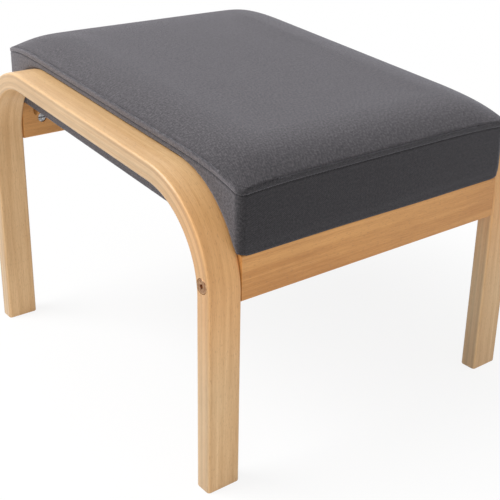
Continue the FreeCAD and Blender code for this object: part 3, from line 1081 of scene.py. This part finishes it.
def build_beech_group(name):
    """Beech: broad streaks, fine fibre and short dark flecks, drawn out along the grain, which is z."""
    graph, given, result = new_group(name, {
        "Place": "Vector", "Light": "Color", "Dark": "Color", "Fleck": "Color",
        "Fleck amount": "Float"})
    place = given["Place"]
    wander = graph.noise(graph.stretch(place, 9, 9, 3), detail=1.0)
    streaks = graph.noise(
        graph.stretch(place, 130, 130, 2.6), detail=4.0, roughness=0.6, distortion=0.35)
    fibre = graph.noise(graph.stretch(place, 1500, 1500, 38), detail=2.0, roughness=0.6)
    short = graph.noise(graph.stretch(place, 1150, 1150, 170), detail=1.0)
    fleck = graph.times(graph.band(short, 0.6, 0.7), given["Fleck amount"])
    share = graph.plus(graph.times(streaks, 0.7), graph.times(wander, 0.45))
    share = graph.plus(share, graph.times(graph.minus(fibre, 0.5), 0.5))
    ground = graph.mix(graph.band(share, 0.3, 0.86), given["Dark"], given["Light"])
    graph.feed(result["Colour"], graph.mix(fleck, ground, given["Fleck"]))
    graph.feed(result["Roughness"], graph.band(fibre, 0.2, 0.8, 0.36, 0.48))
    graph.feed(result["Height"], graph.minus(graph.times(fibre, 0.6), fleck))
    return graph.tree


def build_weave_group(name):
    """A plain weave: yarns that pass over and under each other, each a little different, and specks."""
    graph, given, result = new_group(name, {
        "Place": "Vector", "Pitch": "Float", "Light": "Color", "Dark": "Color", "Speck": "Float"})
    x, y, _ = graph.parts(given["Place"])
    across = graph.math("DIVIDE", x, given["Pitch"])
    along = graph.math("DIVIDE", y, given["Pitch"])
    yarn_x, yarn_y = graph.math("FLOOR", across), graph.math("FLOOR", along)
    ridge_x = graph.math("SINE", graph.times(graph.math("FRACT", across), math.pi))
    ridge_y = graph.math("SINE", graph.times(graph.math("FRACT", along), math.pi))
    wave_x = graph.math("COSINE", graph.times(graph.plus(along, yarn_x), math.pi))
    wave_y = graph.math("COSINE", graph.times(graph.plus(across, yarn_y), math.pi))
    warp = graph.times(ridge_x, graph.math("MULTIPLY_ADD", wave_x, 0.5, 0.5))
    weft = graph.times(ridge_y, graph.math("MULTIPLY_ADD", wave_y, -0.5, 0.5))
    relief = graph.math("MAXIMUM", warp, weft)
    on_top = graph.math("GREATER_THAN", warp, weft)
    warp_tone = graph.noise(graph.joined(graph.times(yarn_x, 3.7), graph.times(y, 26.0)))
    weft_tone = graph.noise(graph.joined(graph.times(x, 26.0), graph.times(yarn_y, 3.7)))
    weft_share = graph.minus(1.0, on_top)
    yarn_tone = graph.plus(graph.times(on_top, warp_tone), graph.times(weft_share, weft_tone))
    specks = graph.noise(graph.stretch(given["Place"], 360, 360, 360), detail=3.0, roughness=0.75)
    # Painted light and shade of the weave's relief: the yarns' crests are lighter and the gaps between
    # them darker
    tone = graph.plus(graph.times(yarn_tone, 0.5), graph.times(relief, 0.3))
    swing = graph.times(graph.minus(specks, 0.5), given["Speck"])
    tone = graph.plus(tone, swing)
    graph.feed(result["Colour"], graph.mix(graph.band(tone, 0.1, 0.85), given["Dark"], given["Light"]))
    graph.feed(result["Roughness"], graph.band(specks, 0.3, 0.7, 0.82, 0.95))
    graph.feed(result["Height"], relief)
    return graph.tree


def build_rub_group(name):
    """Rubbed metal: a dull coat, brighter where fine scratches and handling have polished it."""
    graph, given, result = new_group(name, {"Place": "Vector", "Dull": "Color", "Bright": "Color"})
    scratches = graph.noise(graph.stretch(given["Place"], 260, 2600, 900), detail=4.0, roughness=0.7)
    clouds = graph.noise(graph.stretch(given["Place"], 300, 300, 300), detail=3.0)
    wear_and_painted_light = graph.band(graph.plus(graph.times(scratches, 0.5), clouds), 0.6, 0.95)
    graph.feed(result["Colour"], graph.mix(wear_and_painted_light, given["Dull"], given["Bright"]))
    graph.feed(result["Roughness"], graph.band(wear_and_painted_light, 0.0, 1.0, 0.42, 0.26))
    graph.feed(result["Height"], scratches)
    return graph.tree


def ready_node(tree, kind):
    """The node of a kind that a new tree already holds."""
    return next(node for node in tree.nodes if node.type == kind)


def new_material(name):
    """A node material with one Principled shader. Gives its graph and that shader's inputs."""
    material = bpy.data.materials.new(name)
    material.use_nodes = True
    tree = material.node_tree
    return material, Graph(tree), ready_node(tree, "BSDF_PRINCIPLED").inputs


def add_bump(graph, surface, height, distance, strength=1.0):
    bump = graph.node("ShaderNodeBump")
    normal = graph.fill(bump, distance=distance, strength=strength, height=height)
    graph.feed(surface["Normal"], normal)


def object_place(graph):
    return graph.node("ShaderNodeTexCoord").outputs["Object"]


def turned_place(graph, turn):
    """The place on the object, turned about the origin."""
    mapping = graph.node("ShaderNodeMapping")
    return graph.fill(mapping, rotation=turn, vector=object_place(graph))


def scaled(paint, share):
    """A linear colour made lighter or darker, at most white."""
    return tuple(min(1.0, share * level) for level in paint[:3]) + (1.0,)


def varnish(surface, weight):
    surface["Coat Weight"].default_value = weight
    surface["Coat Roughness"].default_value = 0.22
    surface["Specular IOR Level"].default_value = 0.4


def bent_beech():
    """Layered beech that follows the bends. Its layers show on the strip's sides, which are paler."""
    size, paint = sizes(), colours()
    material, graph, surface = new_material("bent_beech")
    place = graph.node("ShaderNodeAttribute", attribute_name="strip_place").outputs["Vector"]
    across, depth, along = graph.parts(place)
    wood = graph.beech(place, paint.wood_light, paint.wood_dark, 0.35)
    shifted = graph.joined(graph.plus(across, 0.3), depth, along)
    edge_wood = graph.beech(shifted, paint.edge_wood, paint.edge_dark, 0.2)
    layers = graph.math("DIVIDE", depth, size.ply_thickness)
    layer_tone = graph.node("ShaderNodeTexWhiteNoise", noise_dimensions="1D")
    graph.feed(layer_tone.inputs["W"], graph.math("FLOOR", layers))
    from_line = graph.math("ABSOLUTE", graph.minus(graph.math("FRACT", layers), 0.5))
    glue_line = graph.band(from_line, 0.43, 0.5)
    side_depth = graph.math("MINIMUM", across, graph.minus(size.strip_width, across))
    on_side = graph.band(side_depth, size.edge_radius * 0.6, 0.0002)
    ground = graph.mix(on_side, wood["Colour"], edge_wood["Colour"])
    layered = graph.times(
        graph.band(layer_tone.outputs[0], 0.0, 1.0, -0.09, 0.07), on_side)
    lined = graph.times(graph.times(glue_line, on_side), -0.11)
    face_depth = graph.math("MINIMUM", depth, graph.minus(size.strip_thickness, depth))
    from_edge = graph.math("MAXIMUM", side_depth, face_depth)
    # Paler along the rounded long edges: partly the paler wood that the rounding opens, partly a
    # painted highlight
    pale_edge_and_highlight = graph.band(from_edge, size.edge_radius * 0.6, size.edge_radius * 0.25, 0.0, 0.16)
    lined = graph.plus(lined, pale_edge_and_highlight)
    tone = graph.uneven_tone(place, 0.09, 0.22)
    tone = graph.plus(tone, graph.plus(layered, lined))
    # Painted light: the strip is tinted ruddier on the upper front leg and paler and bluer elsewhere,
    # for how differently they are lit
    painted_ruddy_share = graph.times(graph.band(along, *RUDDY_FROM), graph.band(along, *RUDDY_TO))
    ground = graph.mix(1.0, ground, graph.mix(painted_ruddy_share, PAINTED_PALE_TINT, PAINTED_RUDDY_TINT), "MULTIPLY")
    graph.feed(surface["Base Color"], graph.toned(ground, tone))
    graph.feed(surface["Roughness"], wood["Roughness"])
    varnish(surface, 0.25)
    relief = graph.minus(wood["Height"], graph.times(glue_line, on_side))
    add_bump(graph, surface, relief, 0.00012, 0.5)
    return material


def straight_beech(name, light, dark, turn, patch=0.09):
    """Solid beech with its grain along the axis that the turn brings to z."""
    material, graph, surface = new_material(name)
    place = turned_place(graph, turn)
    wood = graph.beech(place, light, dark, 0.4)
    tone = graph.uneven_tone(place, patch, 0.22)
    graph.feed(surface["Base Color"], graph.toned(wood["Colour"], tone))
    graph.feed(surface["Roughness"], wood["Roughness"])
    varnish(surface, 0.1)
    add_bump(graph, surface, wood["Height"], 0.00012, 0.5)
    return material


def plywood():
    """The seat board: thin layers across its thickness, light and dark in turn."""
    paint, size = colours(), sizes()
    material, graph, surface = new_material("plywood")
    x, y, z = graph.parts(turned_place(graph, (-size.slope, 0, 0)))
    layers = graph.math("DIVIDE", z, BOARD_PLY)
    crossed = graph.math("MODULO", graph.math("FLOOR", layers), 2.0)
    wood = graph.beech(graph.joined(x, z, y), paint.plywood_light, paint.plywood_dark, 0.3)
    from_line = graph.math("ABSOLUTE", graph.minus(graph.math("FRACT", layers), 0.5))
    lined = graph.band(from_line, 0.42, 0.5, 1.0, 0.7)
    shade = graph.plus(graph.times(crossed, -0.16), lined)
    graph.feed(surface["Base Color"], graph.toned(wood["Colour"], shade))
    graph.feed(surface["Roughness"], graph.band(wood["Roughness"], 0.3, 0.5, 0.6, 0.75))
    add_bump(graph, surface, wood["Height"], 0.0002)
    return material


def seat_cloth():
    """The seat's charcoal woven cloth, with a soft sheen, a broad uneven tone, a painted sheen that
    lightens it where it is seen at a slant, and the painted light and shade that its points keep.
    """
    paint, size = colours(), sizes()
    material, graph, surface = new_material("seat_cloth")
    place = graph.node("ShaderNodeUVMap", uv_map="cloth").outputs[0]
    cloth = graph.group(
        made_once("Plain weave", build_weave_group), place=place, pitch=size.yarn_pitch,
        light=paint.cloth_light, dark=paint.cloth_dark, speck=2.2)
    tone = graph.uneven_tone(object_place(graph), 0.07, 0.12)
    shade = graph.node("ShaderNodeAttribute", attribute_name="shade").outputs["Fac"]
    # Painted sheen: the colour is lighter where the cloth is seen at a slant and darker where it faces
    # the view, and it is multiplied by the painted light and shade kept on the points
    facing = graph.node("ShaderNodeLayerWeight").outputs["Facing"]
    painted_sheen = graph.plus(
        graph.band(facing, 0.2, 0.6, 0.72, 1.03), graph.band(facing, 0.70, 0.77, 0.0, 0.20))
    tone = graph.times(tone, graph.times(shade, painted_sheen))
    graph.feed(surface["Base Color"], graph.toned(cloth["Colour"], tone))
    graph.feed(surface["Roughness"], cloth["Roughness"])
    surface["Specular IOR Level"].default_value = 0.25
    surface["Sheen Weight"].default_value = 0.35
    surface["Sheen Roughness"].default_value = 0.45
    surface["Sheen Tint"].default_value = display_colour(205, 205, 215)
    add_bump(graph, surface, cloth["Height"], 0.0003, 0.8)
    return material


def sewing_thread():
    """Twisted thread: fine slanting ridges over the thread's own colour, with painted shade in the
    grooves between them.
    """
    material, graph, surface = new_material("sewing_thread")
    x, y, z = graph.parts(graph.stretch(object_place(graph), 9000, 9000, 9000))
    slant = graph.plus(graph.plus(x, y), graph.times(z, 1.4))
    twist = graph.math("MULTIPLY_ADD", graph.math("SINE", slant), 0.5, 0.5)
    thread = colours().thread
    # Painted shade: darker in the grooves between the twist's ridges
    graph.feed(surface["Base Color"], graph.mix(twist, scaled(thread, 0.7), thread))
    graph.feed(surface["Roughness"], graph.band(twist, 0.0, 1.0, 0.7, 0.5))
    surface["Sheen Weight"].default_value = 0.2
    add_bump(graph, surface, twist, 0.0001)
    return material


def bonded_cloth():
    """The dust cover: bonded fibres with a grid of tiny pressed dots."""
    material, graph, surface = new_material("bonded_cloth")
    place = object_place(graph)
    fibres = graph.noise(
        graph.stretch(place, 900, 900, 900), detail=5.0, roughness=0.75, distortion=1.5)
    x, y, _ = graph.parts(graph.stretch(place, 1600, 1600, 1600))
    dots = graph.times(graph.math("SINE", x), graph.math("SINE", y))
    pressed = graph.band(dots, 0.55, 0.8)
    dark = colours().dust_cloth
    ground = graph.mix(graph.band(fibres, 0.3, 0.75), dark, scaled(dark, 2.1))
    graph.feed(surface["Base Color"], ground)
    graph.feed(surface["Roughness"], graph.band(pressed, 0.0, 1.0, 0.9, 0.6))
    surface["Specular IOR Level"].default_value = 0.25
    add_bump(graph, surface, graph.minus(fibres, pressed), 0.0002)
    return material


def porous(name, base, cell, depth, roughness):
    """Foam or wadding: open cells or loose fibres of a size, with painted shade in the middle of each
    cell.
    """
    material, graph, surface = new_material(name)
    place = object_place(graph)
    scale = 1 / cell
    cells = graph.node("ShaderNodeTexVoronoi")
    cells.inputs["Scale"].default_value = scale
    graph.feed(cells.inputs["Vector"], place)
    cloud = graph.noise(graph.stretch(place, scale / 3, scale / 3, scale / 3), detail=4.0)
    walls = graph.band(cells.outputs["Distance"], 0.0, 0.6)
    share = graph.times(walls, graph.band(cloud, 0.2, 0.7, 0.6, 1.0))
    # Painted shade: darker in the middle of each cell, lighter on its walls
    graph.feed(surface["Base Color"], graph.mix(share, scaled(base, 0.72), tuple(base)))
    graph.feed(surface["Roughness"], graph.band(cloud, 0.2, 0.8, roughness - 0.08, roughness))
    add_bump(graph, surface, cells.outputs["Distance"], depth)
    return material


def rubbed_metal(name, dull, bright):
    material, graph, surface = new_material(name)
    group = made_once("Rubbed metal", build_rub_group)
    metal = graph.group(group, place=object_place(graph), dull=dull, bright=bright)
    graph.feed(surface["Base Color"], metal["Colour"])
    graph.feed(surface["Roughness"], metal["Roughness"])
    surface["Metallic"].default_value = 1.0
    add_bump(graph, surface, metal["Height"], 0.00003, 0.4)
    return material


def plain_floor():
    """A pale floor that keeps the shadow near the stool and fades to white further off."""
    material, graph, surface = new_material("plain_floor")
    place = object_place(graph)
    surface["Base Color"].default_value = colours().floor
    surface["Specular IOR Level"].default_value = 0.1
    grain = graph.noise(graph.stretch(place, 60, 60, 60), detail=4.0)
    graph.feed(surface["Roughness"], graph.band(grain, 0.3, 0.7, 0.85, 0.95))
    x, y, _ = graph.parts(place)
    distance = graph.math("SQRT", graph.plus(graph.times(x, x), graph.times(y, y)))
    white = graph.node("ShaderNodeEmission")
    blend = graph.node("ShaderNodeMixShader")
    share = graph.times(graph.seen(), graph.band(distance, 0.25, 0.75, 0.84, 1.0))
    shader = ready_node(graph.tree, "BSDF_PRINCIPLED")
    for socket, value in zip(blend.inputs, (share, shader.outputs[0], white.outputs[0])):
        graph.feed(socket, value)
    graph.feed(ready_node(graph.tree, "OUTPUT_MATERIAL").inputs["Surface"], blend.outputs[0])
    return material


# Operators


class FOOTSTOOL_OT_side_frames(bpy.types.Operator):
    """Bend both side frames and drill them for the bolts and dowels"""

    bl_idname = "footstool.side_frames"
    bl_label = "Side frames"

    def execute(self, context):
        size = sizes()
        strip = Strip(size)
        material = bent_beech()
        for side_name, side in SIDES.items():
            low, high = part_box(f"{side_name}_side_frame")
            outer_x, inner_x = (low.x, high.x) if side < 0 else (high.x, low.x)
            piece = sweep_strip(strip, inner_x, outer_x)
            ease_feet(piece, size.foot_chamfer)
            drill_frame(piece, side, side_name)
            note_places(piece, strip, outer_x)
            smooth_faces(piece)
            piece.name = f"{side_name}_bent_frame"
            piece.data.name = piece.name
            finish_piece(piece, material, [f"{side_name}_side_frame"])
        return {"FINISHED"}


class FOOTSTOOL_OT_seat(bpy.types.Operator):
    """Stuff the seat, and make its cover, wadding and foam"""

    bl_idname = "footstool.seat"
    bl_label = "Seat"

    def execute(self, context):
        size, paint = sizes(), colours()
        block = stuffed_block()
        line_up_rows(block)
        draw_tight(block)
        under_cover = size.cover_thickness + size.seam_sink
        foam = inner_shape(block, "foam_block", under_cover + size.wadding_thickness)
        close_bottom(foam)
        wadding = inner_shape(block, "wadding_wrap", under_cover)
        thicken(wadding, size.wadding_thickness)
        refine(block)
        press_to_board(block)
        sink_seams(block)
        lay_out_cloth(block)
        note_shade(block)
        top, band = split_cover(block)
        path, outward = second_row_path(band)
        stitches = sew("seam_stitches", one_stitch(size), path, outward, size)
        for panel in (top, band):
            thicken(panel, size.cover_thickness)
        for piece in (foam, wadding, top, band, stitches):
            lean(piece)
            shade_smooth(piece)
        cloth = seat_cloth()
        finish_piece(top, cloth, ["seat_cover_top_panel"])
        finish_piece(band, cloth, ["seat_cover_side_band"])
        finish_piece(stitches, sewing_thread())
        fibre = porous("wadding_fibre", paint.wadding, 0.003, 0.0006, 0.95)
        finish_piece(wadding, fibre, ["seat_wadding"])
        open_foam = porous("open_foam", paint.foam, 0.0014, 0.0004, 0.92)
        finish_piece(foam, open_foam, ["seat_foam"])
        return {"FINISHED"}


class FOOTSTOOL_OT_dust_cover(bpy.types.Operator):
    """Hang the bonded cloth under the seat"""

    bl_idname = "footstool.dust_cover"
    bl_label = "Dust cover"

    def execute(self, context):
        sheet = dust_sheet()
        thicken(sheet, sizes().dust_thickness)
        lean(sheet)
        shade_smooth(sheet)
        finish_piece(sheet, bonded_cloth(), ["seat_dust_cover"])
        return {"FINISHED"}


class FOOTSTOOL_OT_finishes(bpy.types.Operator):
    """Give the rails, the board and the fittings their finishes"""

    bl_idname = "footstool.finishes"
    bl_label = "Rails and fittings"

    def execute(self, context):
        paint = colours()
        along_x = (0, -math.pi / 2, 0)
        finishes = {
            "rail": straight_beech("rail_beech", paint.rail_light, paint.rail_dark, along_x),
            "dowels": straight_beech(
                "dowel_beech", paint.wood_light, paint.wood_dark, along_x, patch=0.02),
            "frame_bolt": rubbed_metal("bronzed_steel", paint.bronze, paint.bronze_worn),
            "barrel_nut": rubbed_metal("zinc_steel", paint.zinc_dull, paint.zinc),
            "base_board": plywood(),
        }
        finishes["seat_screw"] = finishes["seat_staples"] = finishes["barrel_nut"]
        for name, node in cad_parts.items():
            for ending, material in finishes.items():
                if name.endswith(ending):
                    node.data.materials.clear()
                    node.data.materials.append(material)
        return {"FINISHED"}


class FOOTSTOOL_OT_stage(bpy.types.Operator):
    """Set up the floor, the studio light and the camera"""

    bl_idname = "footstool.stage"
    bl_label = "Stage"

    def execute(self, context):
        scene = context.scene
        deselect_all()
        bpy.ops.mesh.primitive_circle_add(vertices=96, radius=FLOOR_RADIUS, fill_type="NGON")
        floor = bpy.context.active_object
        floor.name = "floor"
        edit_all(floor)
        bpy.ops.mesh.inset(thickness=FLOOR_RADIUS - 2)
        end_edit()
        floor.data.materials.append(plain_floor())
        self.light_world(scene)
        for name, (place, width, power) in LAMPS.items():
            self.add_lamp(name, place, width, power)
        self.add_camera(scene)
        scene.view_settings.view_transform = "Standard"
        return {"FINISHED"}

    def light_world(self, scene):
        world = bpy.data.worlds.new("studio")
        scene.world = world
        world.use_nodes = True
        graph = Graph(world.node_tree)
        strength = graph.band(graph.seen(), 0.0, 1.0, SKY_STRENGTH, 1.0)
        background = ready_node(world.node_tree, "BACKGROUND")
        graph.fill(background, color=(1, 1, 1, 1), strength=strength)

    def add_lamp(self, name, place, width, power):
        data = bpy.data.lights.new(name, "AREA")
        data.shape = "DISK"
        data.size = width
        data.energy = power
        lamp = bpy.data.objects.new(name, data)
        lamp.location = place
        lamp.rotation_euler = (LAMP_TARGET - Vector(place)).to_track_quat("-Z", "Y").to_euler()
        bpy.context.scene.collection.objects.link(lamp)

    def add_camera(self, scene):
        data = bpy.data.cameras.new("camera")
        data.lens = CAMERA_LENS
        data.shift_x, data.shift_y = CAMERA_SHIFT
        camera = bpy.data.objects.new("camera", data)
        camera.location = CAMERA_PLACE
        heading = Euler((math.radians(90 - CAMERA_DOWN), 0, math.radians(CAMERA_TURN))).to_quaternion()
        roll = Quaternion((0, 0, 1), math.radians(CAMERA_ROLL))
        camera.rotation_euler = (heading @ roll).to_euler()
        scene.collection.objects.link(camera)
        scene.camera = camera


class FOOTSTOOL_PT_panel(bpy.types.Panel):
    """Lists the steps that build the footstool"""

    bl_idname = "FOOTSTOOL_PT_panel"
    bl_label = "Footstool"
    bl_space_type = "VIEW_3D"
    bl_region_type = "UI"
    bl_category = "Footstool"

    def draw(self, context):
        for step in STEPS:
            self.layout.operator(step.bl_idname)
        for group in (context.scene.footstool_sizes, context.scene.footstool_colours):
            column = self.layout.column(align=True)
            for name in group.__annotations__:
                column.prop(group, name)


STEPS = (
    FOOTSTOOL_OT_stage,
    FOOTSTOOL_OT_side_frames,
    FOOTSTOOL_OT_seat,
    FOOTSTOOL_OT_dust_cover,
    FOOTSTOOL_OT_finishes,
)
CLASSES = (FootstoolSizes, FootstoolColours, *STEPS, FOOTSTOOL_PT_panel)


def register():
    for item in CLASSES:
        bpy.utils.register_class(item)
    bpy.types.Scene.footstool_sizes = PointerProperty(type=FootstoolSizes)
    bpy.types.Scene.footstool_colours = PointerProperty(type=FootstoolColours)


def unregister():
    del bpy.types.Scene.footstool_colours
    del bpy.types.Scene.footstool_sizes
    for item in reversed(CLASSES):
        bpy.utils.unregister_class(item)


def main():
    register()
    bpy.ops.footstool.stage()
    bpy.ops.footstool.side_frames()
    bpy.ops.footstool.seat()
    bpy.ops.footstool.dust_cover()
    bpy.ops.footstool.finishes()
    deselect_all()


if __name__ == "__main__":
    main()
